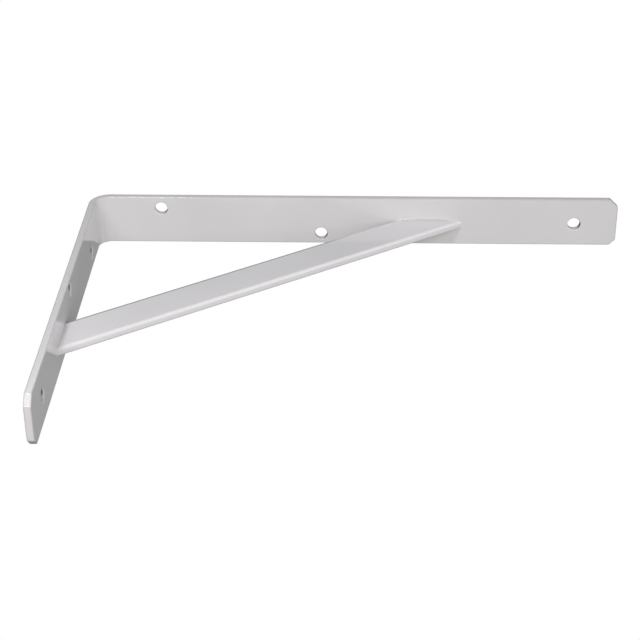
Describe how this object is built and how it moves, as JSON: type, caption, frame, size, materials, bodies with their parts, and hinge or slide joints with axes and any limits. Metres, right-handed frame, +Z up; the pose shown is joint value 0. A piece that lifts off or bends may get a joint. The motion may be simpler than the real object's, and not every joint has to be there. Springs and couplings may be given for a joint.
{
  "type": "gallows shelf bracket",
  "caption": "Steel gallows bracket: a flat bar bent square, staggered screw holes in both arms, and a slanted brace on edge welded between the arms.",
  "frame": {"origin": "the corner where the wall plane meets the shelf's underside, at the middle of the bar's width, just outside the bend", "axes": "+X out from the wall along the shelf arm, +Z up, out of the face that carries the shelf, +Y across the bar's width"},
  "size_m": [0.315, 0.03, 0.225],
  "materials": {
    "white_paint": "glossy white stoved paint over steel"
  },
  "bodies": {
    "root": {"bent_bar": "white_paint", "brace": "white_paint", "heel_weld_left": "white_paint", "heel_weld_right": "white_paint", "toe_weld_left": "white_paint", "toe_weld_right": "white_paint"}
  },
  "joints": []
}
